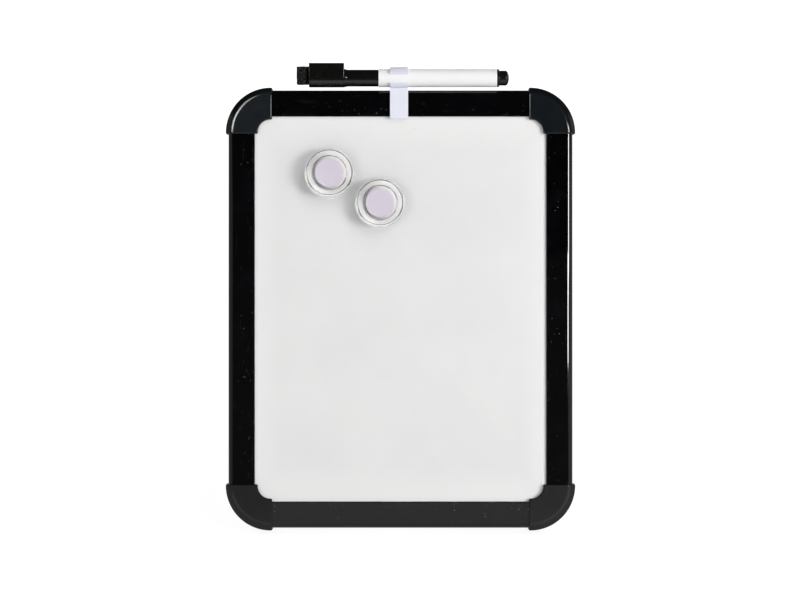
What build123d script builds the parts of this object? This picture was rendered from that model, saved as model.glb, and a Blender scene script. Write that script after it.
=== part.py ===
from build123d import *
import math
import os

# Magnetic desk whiteboard easel: a steel writing sheet in a frame of four bars and four corner caps,
# leaning back on a fold-out strut, with a marker in a clip that slides along the top bar and two
# round magnets on the sheet.
#
# The pieces are modelled in the board's own frame, in millimetres: X to the right, Y from front to
# back with 0 at the bars' front face, Z up along the board with 0 at its middle. The last section
# leans them back and stands them on the desk, with the origin under the middle of the whole.

# ---- Frame bars ----
board_width = 213.6  # over the bars
board_height = 271.6
bar_width = 16.5  # as seen from the front
bar_wall = 1.2
bar_front_round = 3.6  # along the outer front edge
bar_shoulder = 2.7  # round along the outer back edge, and a wall's thickness inside it in the chamber
bar_chamber = 4.8  # width of the closed chamber behind the outer wall
bar_slope = 0.6  # how far the front face falls back from its inner edge to its outer one
bar_lip_bevel = 0.4  # along the inner edge, at the front

# ---- Writing panel ----
sheet_thickness = 0.3
core_thickness = 7.7
backing_thickness = 0.4
panel_slack = 0.2  # behind the panel, in the bars' slot
panel_edge_gap = 0.4  # from the panel's edge to the floor of the slot
panel_corner_gap = 0.4  # from the cut corners to the connectors

# ---- Corner caps ----
cap_radius = 27.9  # outer curve, seen from the front
cap_overhang = 1.67  # outside the bars' outer edges
cap_lap = 1.88  # inside the bars' inner edges
cap_face = 1.0  # in front of the bars, and behind them
cap_run = 1.0  # straight stretch at each end
cap_bevel = 3.6  # along the outer front edge
cap_bevel_round = 4.0  # where the bevel meets the face
cap_edge_round = 1.2  # where it meets the outer side
cap_back_round = 1.0
cap_inner_round = 1.0
cap_end_round = 0.9  # around each end, no more than the straight stretch there
cap_fit = 0.1  # gap around the bars, and to the panel
bar_entry = 3.5  # how far the bars reach past the middle of the cap's curve

# ---- Corner connectors and their screws ----
connector_fit = 0.1
connector_leg = 14.0  # inside each bar
connector_bend = 1.0  # straight stretch outside each bar
screw_radius = 1.25
screw_head_radius = 2.4
screw_head_height = 1.3
screw_length = 6.5  # under the head
screw_fit = 0.05
screw_slot_width = 0.7
screw_slot_depth = 0.6

# ---- Heels and rubber foot pads of the lower caps ----
heel_depth = 4.2  # behind the cap's back
heel_width = 8.4
heel_height = 12.0
heel_clearance = 0.4  # from the cap's own lower back edge to the desk
pad_length = 6.4
pad_width = 3.0
pad_thickness = 1.5
pad_proud = 0.3
pad_fit = 0.05

# ---- Strut and its hinge ----
lean = 15.0  # of the board, back from upright
opening = 30.0  # of the strut, from the board
hinge_height = 190.0  # of the pivot, along the board from its lower edge
pivot_gap = 3.8  # from the bracket's plate to the pivot
bracket_plate = 1.2
bracket_wing = 8.7  # of the plate, outside each ear
bracket_height = 28.0
bracket_corner = 4.0
bracket_screw_edge = 5.0  # from the plate's upper and lower edges to its screws
ear_thickness = 2.0
ear_radius = 4.4
ear_gap = 0.3  # between an ear and the strut's knuckle
pin_radius = 1.5
pin_fit = 0.05
pin_head_radius = 2.4
pin_head = 1.0
knuckle_width = 36.0
knuckle_radius = 3.5
strut_thickness = 3.0
strut_foot_width = 56.0
strut_neck = 9.0  # straight stretch under the pivot
strut_rib = 2.0  # width of the ribs along the strut's back
strut_rib_height = 2.2
stop_gap = 0.1  # from the strut's heel to the bracket's plate, when open
shoe_wall = 3.0  # at each side of the strut
shoe_height = 11.0
shoe_sole = 3.0  # rubber under the strut's end
shoe_fold_gap = 0.4  # from the shoe to the lower bar, when folded

# ---- Marker clip ----
clip_x = -0.9
clip_width = 11.2
clip_wall = 1.15
clip_fit = 0.1  # to the bar
clip_grip_fit = 0.07  # to the barrel
clip_lip_angle = 19.0  # of the upper lip, above the level line to the front
clip_jaw_angle = 33.0  # of the lower lip, below it
clip_hook = 1.3  # height of the hook below the bar's inner edge
clip_tail = 9.0  # down the bar's back
clip_outer_round = 0.8

# ---- Marker ----
marker_setback = 3.1  # of its axis, behind the bars' front face
marker_gap = 1.92  # from the top bar to the barrel
barrel_radius = 5.65
barrel_wall = 0.95
barrel_left = -13.6
barrel_right = 60.1
barrel_round = 0.4  # around its two ends
plug_flange_radius = 5.6
plug_flange_taper = 0.9  # smaller in radius at its outer end
plug_flange = 1.2
plug_radius = 4.62
plug_length = 7.2  # outside the barrel, flange included
plug_dome = 2.2
plug_spigot = 6.0
spigot_fit = 0.05
reservoir_radius = 4.5
reservoir_end_gap = 0.3  # to the end plug's spigot
nib_holder_spigot = 7.0
nib_holder_collar = 5.0
nib_holder_collar_radius = 4.2
nib_holder_tip_radius = 2.4
nib_holder_length = 10.4  # outside the barrel
nib_radius = 1.6
nib_length = 6.5  # outside the holder
nib_round = 1.2

# ---- Marker cap with eraser ----
cap_body_radius = 5.24
cap_body_length = 21.3
cap_flare = 1.8  # length of the cone next to the eraser holder
cap_flare_radius = 5.65
cap_bore_fit = 0.08  # to the nib holder's collar
cap_seat_gap = 0.1  # from the cap's mouth to the barrel
cap_floor = 1.6
cap_spigot = 6.0  # into the eraser holder
cap_spigot_radius = 3.6
seal_length = 9.0
seal_wall = 1.2
holder_length = 21.7
holder_radius = 5.8  # of its lower half
holder_edge = 0.3  # bevel around its right end
holder_top = 9.0  # flat top, above the marker's axis
holder_round = 1.2
felt_proud = 7.7  # out of the holder
felt_depth = 4.0  # inside it
felt_half_width = 4.6
felt_top = 7.0  # above the marker's axis
felt_bottom = 4.0  # below it
felt_round = 1.0
felt_fit = 0.1
cap_magnet_length = 9.0
cap_magnet_width = 5.0
cap_magnet_thickness = 1.8
cap_magnet_skin = 0.8  # between the magnet and the flat top

# ---- Round magnets ----
magnet_places = {"left": (-44.0, 84.3), "right": (-12.6, 65.8)}  # X and Z on the board
magnet_radius = 15.5
magnet_rim_radius = 14.0  # at the front
magnet_height = 8.0
magnet_rim_round = 0.7
magnet_pocket_radius = 10.85
magnet_pocket_depth = 5.0
magnet_disc_radius = 8.85
magnet_insert_thickness = 0.4
magnet_gap = 0.1  # from the sheet

# How far the tools that cut a hole or a slot stand out of the piece.
overshoot = 1.0

# ---- Worked out ----
half_width = board_width / 2
half_height = board_height / 2
panel_thickness = sheet_thickness + core_thickness + backing_thickness
bar_depth = panel_thickness + panel_slack + 2 * bar_wall
panel_back = bar_wall + panel_thickness
slot_floor = bar_wall + bar_chamber + bar_wall  # from the bar's outer edge
cap_centre_x = half_width + cap_overhang - cap_radius
cap_centre_z = half_height + cap_overhang - cap_radius
bar_outer_radius = cap_radius - cap_overhang  # of the bars' outer edges, inside a cap's curve
cap_inner_radius = bar_outer_radius - bar_width - cap_lap
cap_back = bar_depth + cap_face
bar_end_x = cap_centre_x + bar_entry
bar_end_z = cap_centre_z + bar_entry
connector_width = bar_chamber - 2 * connector_fit
connector_x = half_width - bar_wall - bar_chamber / 2
connector_z = half_height - bar_wall - bar_chamber / 2
chamber_front = bar_wall + bar_slope
chamber_back = bar_depth - bar_wall
connector_depth = chamber_back - chamber_front - 2 * connector_fit
panel_half_width = half_width - slot_floor - panel_edge_gap
panel_half_height = half_height - slot_floor - panel_edge_gap
lower_edge = -half_height - cap_overhang
ear_inner = knuckle_width / 2 + ear_gap
ear_outer = ear_inner + ear_thickness
bracket_width = 2 * (ear_outer + bracket_wing)
bracket_screw_x = ear_outer + bracket_wing / 2
bracket_screw_z = bracket_height / 2 - bracket_screw_edge
shoe_width = strut_foot_width + 2 * shoe_wall
pivot_y = panel_back + bracket_plate + pivot_gap
pivot_z = lower_edge + hinge_height
marker_y = marker_setback
marker_z = half_height + marker_gap + barrel_radius

lean_sin = math.sin(math.radians(lean))
lean_cos = math.cos(math.radians(lean))
# Height of the desk in the leaned frame, before the object is set down on it.
desk_level = lower_edge * lean_cos - cap_back * lean_sin - heel_clearance
pivot_level = pivot_z * lean_cos - pivot_y * lean_sin - desk_level
strut_lean = math.radians(opening - lean)
strut_reach = pivot_level / math.cos(strut_lean)

nodes = {}


def block(x0, x1, y0, y1, z0, z1):
    """A box between two corners."""
    centre = Pos((x0 + x1) / 2, (y0 + y1) / 2, (z0 + z1) / 2)
    return centre * Box(x1 - x0, y1 - y0, z1 - z0)


def area(y0, y1, z0, z1):
    """A rectangle in a cross-section seen along X: across is Y, up is Z."""
    return Pos((y0 + y1) / 2, (z0 + z1) / 2) * Rectangle(y1 - y0, z1 - z0)


def rod_x(x0, x1, radius):
    """A round bar along X."""
    return Pos((x0 + x1) / 2, 0, 0) * Rot(0, 90, 0) * Cylinder(radius, x1 - x0)


def rod_y(y0, y1, radius):
    """A round bar along Y."""
    return Pos(0, (y0 + y1) / 2, 0) * Rot(90, 0, 0) * Cylinder(radius, y1 - y0)


def turned_x(*points):
    """A solid turned about X, from points of x and radius."""
    return revolve(make_face(Polyline(*points, close=True)), Axis.X)


def turned_y(*points):
    """A solid turned about Y, from points of radius and y."""
    return revolve(make_face(Polyline(*points, close=True)), Axis.Y)


def rounded(sketch, corners, radius):
    """The sketch with the corners nearest to the given places rounded."""
    for place in corners:
        corner = sketch.vertices().sort_by_distance(Vector(*place))[0]
        sketch = fillet(corner, radius)
    return sketch


def pan_screw(radius, head_radius, head_height, length):
    """A slotted pan-head screw along Y: the head's underside is at 0 and the shank points to the front."""
    shank = rod_y(-length, 0, radius)
    head = rod_y(0, head_height, head_radius)
    head = fillet(head.faces().sort_by(Axis.Y)[-1].edges(), head_height / 3)
    slot_bottom = head_height - screw_slot_depth
    half_slot = screw_slot_width / 2
    slot = block(-head_radius, head_radius, slot_bottom, head_height + overshoot, -half_slot, half_slot)
    return shank + head - slot


# ---- Frame bars ----
def bar_outline(grow=0):
    """Outline of a bar across Y and up Z, with its outer edge at Z 0, grown by a gap on all sides."""
    outline = make_face(
        Polyline(
            (-grow, -bar_width - grow),
            (bar_slope - grow, grow),
            (bar_depth + grow, grow),
            (bar_depth + grow, -bar_width - grow),
            close=True,
        )
    )
    outline = rounded(outline, [(bar_slope, 0)], bar_front_round)
    return rounded(outline, [(bar_depth, 0)], bar_shoulder)


def bar_section():
    """Cross-section of a bar: a closed chamber under the outer edge, then a slot that holds the panel."""
    outline = bar_outline()
    lip = outline.vertices().sort_by_distance(Vector(0, -bar_width))[0]
    outline = chamfer(lip, bar_lip_bevel)
    chamber = area(chamber_front, chamber_back, -bar_wall - bar_chamber, -bar_wall)
    outer_corners = [(chamber_front, -bar_wall), (chamber_back, -bar_wall)]
    chamber = rounded(chamber, outer_corners, bar_shoulder - bar_wall)
    slot = area(bar_wall, bar_depth - bar_wall, -bar_width - overshoot, -slot_floor)
    return outline - chamber - slot


def frame_bar(length):
    """A bar along X with its outer edge upwards, at Z 0."""
    return extrude(Plane.YZ * bar_section(), length / 2, both=True)


across_bar = frame_bar(2 * bar_end_x)
upright_bar = frame_bar(2 * bar_end_z)
nodes["frame_bar_top"] = Pos(0, 0, half_height) * across_bar
nodes["frame_bar_bottom"] = Pos(0, 0, -half_height) * Rot(0, 180, 0) * across_bar
nodes["frame_bar_right"] = Pos(half_width, 0, 0) * Rot(0, 90, 0) * upright_bar
nodes["frame_bar_left"] = Pos(-half_width, 0, 0) * Rot(0, -90, 0) * upright_bar


# ---- Corner connectors: a cranked link in the chambers of two bars ----
def connector_outline():
    """Outline of the link at the upper right corner, across X and up Z."""
    half = connector_width / 2
    mitre = half * math.tan(math.radians(22.5))
    turn_x = bar_end_x + connector_bend
    turn_z = bar_end_z + connector_bend
    end_x = bar_end_x - connector_leg
    end_z = bar_end_z - connector_leg
    return Polyline(
        (end_x, connector_z + half),
        (turn_x + mitre, connector_z + half),
        (connector_x + half, turn_z + mitre),
        (connector_x + half, end_z),
        (connector_x - half, end_z),
        (connector_x - half, turn_z - mitre),
        (turn_x - mitre, connector_z - half),
        (end_x, connector_z - half),
        close=True,
    )


screw_x = (bar_end_x + connector_bend + connector_x) / 2
screw_z = (bar_end_z + connector_bend + connector_z) / 2
connector = Plane.XZ * make_face(connector_outline())
connector = Pos(0, (chamber_front + chamber_back) / 2, 0) * extrude(connector, connector_depth / 2, both=True)
connector = fillet(connector.edges().filter_by(Axis.Y, reverse=True), bar_shoulder - bar_wall)
corner_screw_hole = rod_y(cap_back - screw_length - screw_fit, cap_back + overshoot, screw_radius + screw_fit)
corner_screw_hole = Pos(screw_x, 0, screw_z) * corner_screw_hole
connector -= corner_screw_hole
corner_screw = pan_screw(screw_radius, screw_head_radius, screw_head_height, screw_length)
corner_screw = Pos(screw_x, cap_back, screw_z) * corner_screw


# ---- Corner caps ----
def cap_outline():
    """Outer cross-section of a cap, across Y and up along its radius."""
    outline = area(-cap_face, cap_back, cap_inner_radius, cap_radius)
    corner = outline.vertices().sort_by_distance(Vector(-cap_face, cap_radius))[0]
    outline = chamfer(corner, cap_bevel)
    outline = rounded(outline, [(-cap_face, cap_radius - cap_bevel)], cap_bevel_round)
    outline = rounded(outline, [(cap_bevel - cap_face, cap_radius)], cap_edge_round)
    outline = rounded(outline, [(cap_back, cap_radius)], cap_back_round)
    return rounded(outline, [(-cap_face, cap_inner_radius), (cap_back, cap_inner_radius)], cap_inner_round)


def cap_hollow():
    """Room inside a cap, in the same cross-section: it is open towards the sheet."""
    hollow = Pos(0, bar_outer_radius) * bar_outline(cap_fit)
    passage = area(bar_wall - cap_fit, panel_back + cap_fit, 0, bar_outer_radius - bar_width)
    return hollow + passage


def around_corner(section, run):
    """The cross-section taken round the corner, with a straight run at each end."""
    section = Plane.YZ * section
    upright_end = Rot(0, 90, 0) * extrude(section, run)
    return revolve(section, Axis.Y, 90) + extrude(section, -run) + upright_end


def bar_pocket():
    """Room for the end of a bar that lies along X, inside the cap's curve."""
    pocket = Pos(0, bar_outer_radius) * bar_outline(cap_fit)
    return extrude(Plane.YZ * pocket, bar_entry + cap_fit)


def corner_cap():
    """The cap at the upper right corner."""
    cap = around_corner(cap_outline(), cap_run)
    ends = cap.faces().sort_by(Axis.X)[0].edges() + cap.faces().sort_by(Axis.Z)[0].edges()
    cap = fillet(ends, min(cap_end_round, cap_run - cap_fit))
    across_pocket = bar_pocket()
    upright_pocket = mirror(Rot(0, 90, 0) * across_pocket, about=Plane.XY)
    cap = cap - around_corner(cap_hollow(), cap_run + overshoot) - across_pocket - upright_pocket
    return Pos(cap_centre_x, 0, cap_centre_z) * cap - corner_screw_hole


def at_corners(piece):
    """The upper right piece, and its mirror images at the other three corners."""
    upper_left = mirror(piece, about=Plane.YZ)
    return {
        "top_right": piece,
        "top_left": upper_left,
        "bottom_right": mirror(piece, about=Plane.XY),
        "bottom_left": mirror(upper_left, about=Plane.XY),
    }


for corner, piece in at_corners(connector).items():
    nodes["corner_connector_" + corner] = piece
for corner, piece in at_corners(corner_cap()).items():
    nodes["corner_cap_" + corner] = piece
nodes["corner_screws"] = Part() + list(at_corners(corner_screw).values())

# ---- Writing panel: steel sheet, core board and backing sheet, with cut corners ----
connector_inner_sum = bar_end_x + connector_bend + connector_z - connector_width / 2 * math.sqrt(2)
corner_cut = panel_half_width + panel_half_height - connector_inner_sum + panel_corner_gap * math.sqrt(2)


def panel_layer(front, thickness):
    """One layer of the panel, from its front face backwards."""
    outline = Rectangle(2 * panel_half_width, 2 * panel_half_height)
    outline = chamfer(outline.vertices(), corner_cut)
    return extrude(Plane.XZ.offset(-front) * outline, -thickness)


core_front = bar_wall + sheet_thickness
backing_front = core_front + core_thickness
bracket_screw_places = [
    (x, pivot_z + z) for x in (-bracket_screw_x, bracket_screw_x) for z in (-bracket_screw_z, bracket_screw_z)
]
bracket_back = panel_back + bracket_plate
bracket_hole = rod_y(-screw_length - screw_fit, overshoot, screw_radius + screw_fit)
bracket_holes = Part() + [Pos(x, bracket_back, z) * bracket_hole for x, z in bracket_screw_places]
nodes["writing_sheet"] = panel_layer(bar_wall, sheet_thickness)
nodes["core_board"] = panel_layer(core_front, core_thickness) - bracket_holes
nodes["back_sheet"] = panel_layer(backing_front, backing_thickness) - bracket_holes

# ---- Hinge bracket on the panel's back, its screws and the pin ----
plate = Pos(0, 0, pivot_z) * (Plane.XZ.offset(-panel_back) * Rectangle(bracket_width, bracket_height))
plate = extrude(plate, -bracket_plate)
plate = fillet(plate.edges().filter_by(Axis.Y), bracket_corner)
bracket = plate
for side in (-1, 1):
    x0 = min(side * ear_inner, side * ear_outer)
    ear = Pos(0, pivot_y, pivot_z) * rod_x(x0, x0 + ear_thickness, ear_radius)
    web = block(x0, x0 + ear_thickness, panel_back, pivot_y, pivot_z - ear_radius, pivot_z + ear_radius)
    bracket = bracket + ear + web
pin_axis = Pos(0, pivot_y, pivot_z)
bracket -= pin_axis * rod_x(-bracket_width, bracket_width, pin_radius + pin_fit)
nodes["hinge_bracket"] = bracket - bracket_holes
bracket_screw = pan_screw(screw_radius, screw_head_radius, screw_head_height, screw_length)
bracket_screws = [Pos(x, bracket_back, z) * bracket_screw for x, z in bracket_screw_places]
nodes["hinge_bracket_screws"] = Part() + bracket_screws
pin = rod_x(-ear_outer, ear_outer, pin_radius)
pin += rod_x(-ear_outer - pin_head, -ear_outer, pin_head_radius)
pin += rod_x(ear_outer, ear_outer + pin_head, pin_head_radius)
nodes["hinge_pin"] = pin_axis * pin

# ---- Strut: it is modelled hanging from its pivot, then swung open ----
strut_end = strut_reach - shoe_sole / math.cos(strut_lean)
opening_sin = math.sin(math.radians(opening))
opening_cos = math.cos(math.radians(opening))
# The heel above the pivot meets the bracket's plate when the strut is open.
heel_rise = (pivot_gap - stop_gap - strut_thickness / 2 * opening_cos) / opening_sin
strut_open = Pos(0, pivot_y, pivot_z) * Rot(opening, 0, 0)
strut_half = strut_thickness / 2


def strut_outline(inset):
    """Outline of the strut below its neck, drawn in by the inset at each side."""
    top = knuckle_width / 2 - inset
    foot = strut_foot_width / 2 - inset
    return make_face(
        Polyline((-top, -strut_neck), (top, -strut_neck), (foot, -strut_end), (-foot, -strut_end), close=True)
    )


def strut():
    """Plate with a knuckle around the pin, a stop above it and ribs along its back."""
    plate = extrude(Plane.XZ * strut_outline(0), strut_half, both=True)
    neck = block(-knuckle_width / 2, knuckle_width / 2, -strut_half, strut_half, -strut_neck, heel_rise)
    knuckle = rod_x(-knuckle_width / 2, knuckle_width / 2, knuckle_radius)
    rim = strut_outline(0) - strut_outline(strut_rib)
    centre = Pos(0, -(strut_neck + strut_end) / 2) * Rectangle(strut_rib, strut_end - strut_neck)
    ribs = extrude(Plane.XZ.offset(-strut_half) * (rim + centre), -strut_rib_height)
    shoe_top = -strut_reach + shoe_height
    shoe_room = block(-shoe_width, shoe_width, strut_half, shoe_width, -strut_reach, shoe_top)
    bore = rod_x(-knuckle_width, knuckle_width, pin_radius + pin_fit)
    return plate + neck + knuckle + (ribs - shoe_room) - bore


def shoe():
    """Rubber shoe on the strut's end. It reaches below the desk here, and is cut level later."""
    half = pivot_y - bar_depth - shoe_fold_gap
    shoe_top = -strut_reach + shoe_height
    body = block(-shoe_width / 2, shoe_width / 2, -half, half, -strut_reach - half, shoe_top)
    body = fillet(body.edges().filter_by(Axis.Z), half / 3)
    return body - extrude(Plane.XZ * strut_outline(0), strut_half, both=True)


nodes["support_strut"] = strut_open * strut()
nodes["strut_shoe"] = strut_open * shoe()


# ---- Marker clip: a saddle over the top bar with a jaw around the barrel ----
def clip_section():
    """Cross-section across Y and up Z."""
    grip = barrel_radius + clip_grip_fit
    ring = Circle(grip + clip_wall) - Circle(grip)
    reach = 2 * (grip + clip_wall)
    lip = math.radians(clip_lip_angle)
    jaw = math.radians(clip_jaw_angle)
    mouth = make_face(
        Polyline(
            (0, 0),
            (-reach * math.cos(lip), reach * math.sin(lip)),
            (-reach * math.cos(jaw), -reach * math.sin(jaw)),
            close=True,
        )
    )
    saddle_bottom = half_height + clip_fit
    saddle_top = saddle_bottom + clip_wall
    bar_inner = half_height - bar_width
    hook_top = bar_inner - clip_fit
    front = -clip_fit - clip_wall
    back = bar_depth + clip_fit + clip_wall
    body = area(front, back, hook_top - clip_hook, saddle_top)
    body = rounded(body, [(front, saddle_top), (back, saddle_top)], clip_outer_round)
    bar_room = Pos(0, half_height) * bar_outline(clip_fit)
    below_bar = area(0, back + overshoot, hook_top - clip_hook - overshoot, hook_top)
    below_tail = area(bar_depth, back + overshoot, hook_top - clip_hook - overshoot, half_height - clip_tail)
    hook = area(front, bar_wall - clip_fit, hook_top - clip_hook, hook_top)
    saddle = body - bar_room - below_bar - below_tail + hook
    jaw_place = Pos(marker_y, marker_z)
    return saddle + jaw_place * (ring - mouth) - jaw_place * Circle(grip)


clip = extrude(Plane.YZ * clip_section(), clip_width / 2, both=True)
nodes["marker_clip"] = Pos(clip_x, 0, 0) * clip

# ---- Marker ----
marker_axis = Pos(0, marker_y, marker_z)
barrel_bore = barrel_radius - barrel_wall
spigot_radius = barrel_bore - spigot_fit
barrel = rod_x(barrel_left, barrel_right, barrel_radius)
barrel = fillet(barrel.edges().filter_by(GeomType.CIRCLE), barrel_round)
barrel -= rod_x(barrel_left - overshoot, barrel_right + overshoot, barrel_bore)
nodes["marker_barrel"] = marker_axis * barrel

plug_end = barrel_right + plug_length
plug = rod_x(barrel_right - plug_spigot, barrel_right, spigot_radius)
plug += turned_x(
    (barrel_right, 0),
    (barrel_right, plug_flange_radius),
    (barrel_right + plug_flange, plug_flange_radius - plug_flange_taper),
    (barrel_right + plug_flange, 0),
)
plug_knob = rod_x(barrel_right + plug_flange, plug_end, plug_radius)
plug_knob = fillet(plug_knob.faces().sort_by(Axis.X)[-1].edges(), plug_dome)
nodes["marker_end_plug"] = marker_axis * (plug + plug_knob)

holder_back = barrel_left + nib_holder_spigot
collar_end = barrel_left - nib_holder_collar
holder_tip = barrel_left - nib_holder_length
nib_holder = turned_x(
    (holder_back, nib_radius + spigot_fit),
    (holder_back, spigot_radius),
    (barrel_left, spigot_radius),
    (barrel_left, nib_holder_collar_radius),
    (collar_end, nib_holder_collar_radius),
    (holder_tip, nib_holder_tip_radius),
    (holder_tip, nib_radius + spigot_fit),
)
nodes["nib_holder"] = marker_axis * nib_holder
nib = rod_x(holder_tip - nib_length, holder_back, nib_radius)
nib = fillet(nib.faces().sort_by(Axis.X)[0].edges(), nib_round)
nodes["nib"] = marker_axis * nib
reservoir_end = barrel_right - plug_spigot - reservoir_end_gap
nodes["ink_reservoir"] = marker_axis * rod_x(holder_back, reservoir_end, reservoir_radius)

# ---- Marker cap, with the eraser holder on its end ----
cap_mouth = barrel_left - cap_seat_gap
cap_shoulder = cap_mouth - cap_body_length
cap_bore = nib_holder_collar_radius + cap_bore_fit
cap_body = rod_x(cap_shoulder, cap_mouth, cap_body_radius)
cap_body += rod_x(cap_shoulder - cap_spigot, cap_shoulder, cap_spigot_radius)
cap_body += turned_x(
    (cap_shoulder, 0),
    (cap_shoulder, cap_flare_radius),
    (cap_shoulder + cap_flare, cap_body_radius),
    (cap_shoulder + cap_flare, 0),
)
cap_body -= rod_x(cap_shoulder + cap_floor, cap_mouth + overshoot, cap_bore)
nodes["marker_cap"] = marker_axis * cap_body

seal_start = cap_shoulder + cap_floor
seal = rod_x(seal_start, seal_start + seal_length, cap_bore)
seal -= rod_x(seal_start + seal_wall, seal_start + seal_length + overshoot, cap_bore - seal_wall)
nodes["cap_inner_seal"] = marker_axis * seal


def holder_section():
    """Eraser holder, across Y and up Z: round below the marker's axis and flat on top."""
    top = area(-holder_radius, holder_radius, 0, holder_top)
    top = rounded(top, [(-holder_radius, holder_top), (holder_radius, holder_top)], holder_round)
    return top + Circle(holder_radius)


def felt_block(grow, start, end):
    """The felt's outline between two places along X, grown by a gap on all sides."""
    section = area(
        -felt_half_width - grow, felt_half_width + grow, -felt_bottom - grow, felt_top + grow
    )
    section = fillet(section.vertices(), felt_round)
    return Pos(start, 0, 0) * extrude(Plane.YZ * section, end - start)


holder_right = cap_shoulder
holder_left = holder_right - holder_length
holder = Pos(holder_left, 0, 0) * extrude(Plane.YZ * holder_section(), holder_length)
right_face = holder.faces().sort_by(Axis.X)[-1]
holder = chamfer(right_face.edges(), holder_edge)
magnet_top = holder_top - cap_magnet_skin
magnet_left = holder_left + felt_depth + cap_magnet_skin
cap_magnet = block(
    magnet_left,
    magnet_left + cap_magnet_length,
    -cap_magnet_width / 2,
    cap_magnet_width / 2,
    magnet_top - cap_magnet_thickness,
    magnet_top,
)
holder -= felt_block(felt_fit, holder_left - overshoot, holder_left + felt_depth)
holder -= cap_magnet
holder -= rod_x(cap_shoulder - cap_spigot, cap_shoulder + overshoot, cap_spigot_radius + spigot_fit)
nodes["eraser_holder"] = marker_axis * holder
nodes["cap_magnet"] = marker_axis * cap_magnet
felt = felt_block(0, holder_left - felt_proud, holder_left + felt_depth)
felt = fillet(felt.faces().sort_by(Axis.X)[0].edges(), felt_round / 2)
nodes["eraser_felt"] = marker_axis * felt


# ---- Round magnets: a clear housing with a lilac insert and a disc magnet in its back ----
def magnet_pieces():
    """Housing, insert and disc, turned about Y, with the sheet at Y 0."""
    back = -magnet_gap
    front = back - magnet_height
    pocket = back - magnet_pocket_depth
    housing = turned_y(
        (0, front),
        (magnet_rim_radius, front),
        (magnet_radius, back),
        (magnet_pocket_radius, back),
        (magnet_pocket_radius, pocket),
        (0, pocket),
    )
    housing = fillet(housing.faces().sort_by(Axis.Y)[0].edges(), magnet_rim_round)
    insert = rod_y(pocket, pocket + magnet_insert_thickness, magnet_disc_radius)
    disc = rod_y(pocket + magnet_insert_thickness, back, magnet_disc_radius)
    return {"housing": housing, "insert": insert, "disc": disc}


for side, (x, z) in magnet_places.items():
    for piece_name, piece in magnet_pieces().items():
        nodes["magnet_" + piece_name + "_" + side] = Pos(x, bar_wall, z) * piece

# ---- Lean everything back and set it down on the desk ----
standing = Pos(0, 0, -desk_level) * Rot(-lean, 0, 0)
for name, piece in nodes.items():
    nodes[name] = standing * piece

# The shoe's sole is level with the desk.
below_desk = block(-board_width, board_width, -board_height, board_height, -board_height, 0)
nodes["strut_shoe"] = nodes["strut_shoe"] - below_desk


# The lower caps stand on rubber pads, let into a heel behind each cap.
heel_inner = cap_centre_x - cap_run  # the cap's end
heel_back = cap_back + heel_depth


def heel():
    """Heel on the back of the lower right cap, in the board's frame: it keeps inside the cap's outline."""
    heel_block = block(
        heel_inner, heel_inner + heel_width, cap_back, heel_back, lower_edge, lower_edge + heel_height
    )
    curved = Pos(cap_centre_x, 0, -cap_centre_z) * rod_y(cap_back, heel_back, cap_radius)
    straight = block(heel_inner, cap_centre_x, cap_back, heel_back, lower_edge, lower_edge + heel_height)
    return heel_block & (curved + straight)


heel_level = block(-board_width, board_width, -board_height, board_height, -board_height, pad_proud)
pad_y = lower_edge * lean_sin + (cap_back + heel_depth / 2) * lean_cos
pad_x = heel_inner + heel_width / 2


def foot_pad(grow=0):
    """Pad under the lower right cap, level with the desk, grown sideways by a gap."""
    half_length = pad_length / 2 + grow
    half_width_y = pad_width / 2 + grow
    return block(
        pad_x - half_length, pad_x + half_length, pad_y - half_width_y, pad_y + half_width_y, 0, pad_thickness
    )


right_pad = foot_pad()
right_cap = nodes["corner_cap_bottom_right"] + standing * heel() - heel_level - foot_pad(pad_fit)
nodes["foot_pad_right"] = right_pad
nodes["foot_pad_left"] = mirror(right_pad, about=Plane.YZ)
nodes["corner_cap_bottom_right"] = right_cap
nodes["corner_cap_bottom_left"] = mirror(right_cap, about=Plane.YZ)

# ---- Origin under the middle of the whole ----
boxes = [piece.bounding_box() for piece in nodes.values()]
middle_x = (min(box.min.X for box in boxes) + max(box.max.X for box in boxes)) / 2
middle_y = (min(box.min.Y for box in boxes) + max(box.max.Y for box in boxes)) / 2
to_origin = Pos(-middle_x, -middle_y, 0)
for name, piece in nodes.items():
    nodes[name] = to_origin * piece

os.makedirs("parts", exist_ok=True)
for name, piece in nodes.items():
    export_step(piece, f"parts/{name}.step")
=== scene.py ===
import math
import random

import bmesh
import bpy
from mathutils import Matrix, Vector, noise

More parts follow.
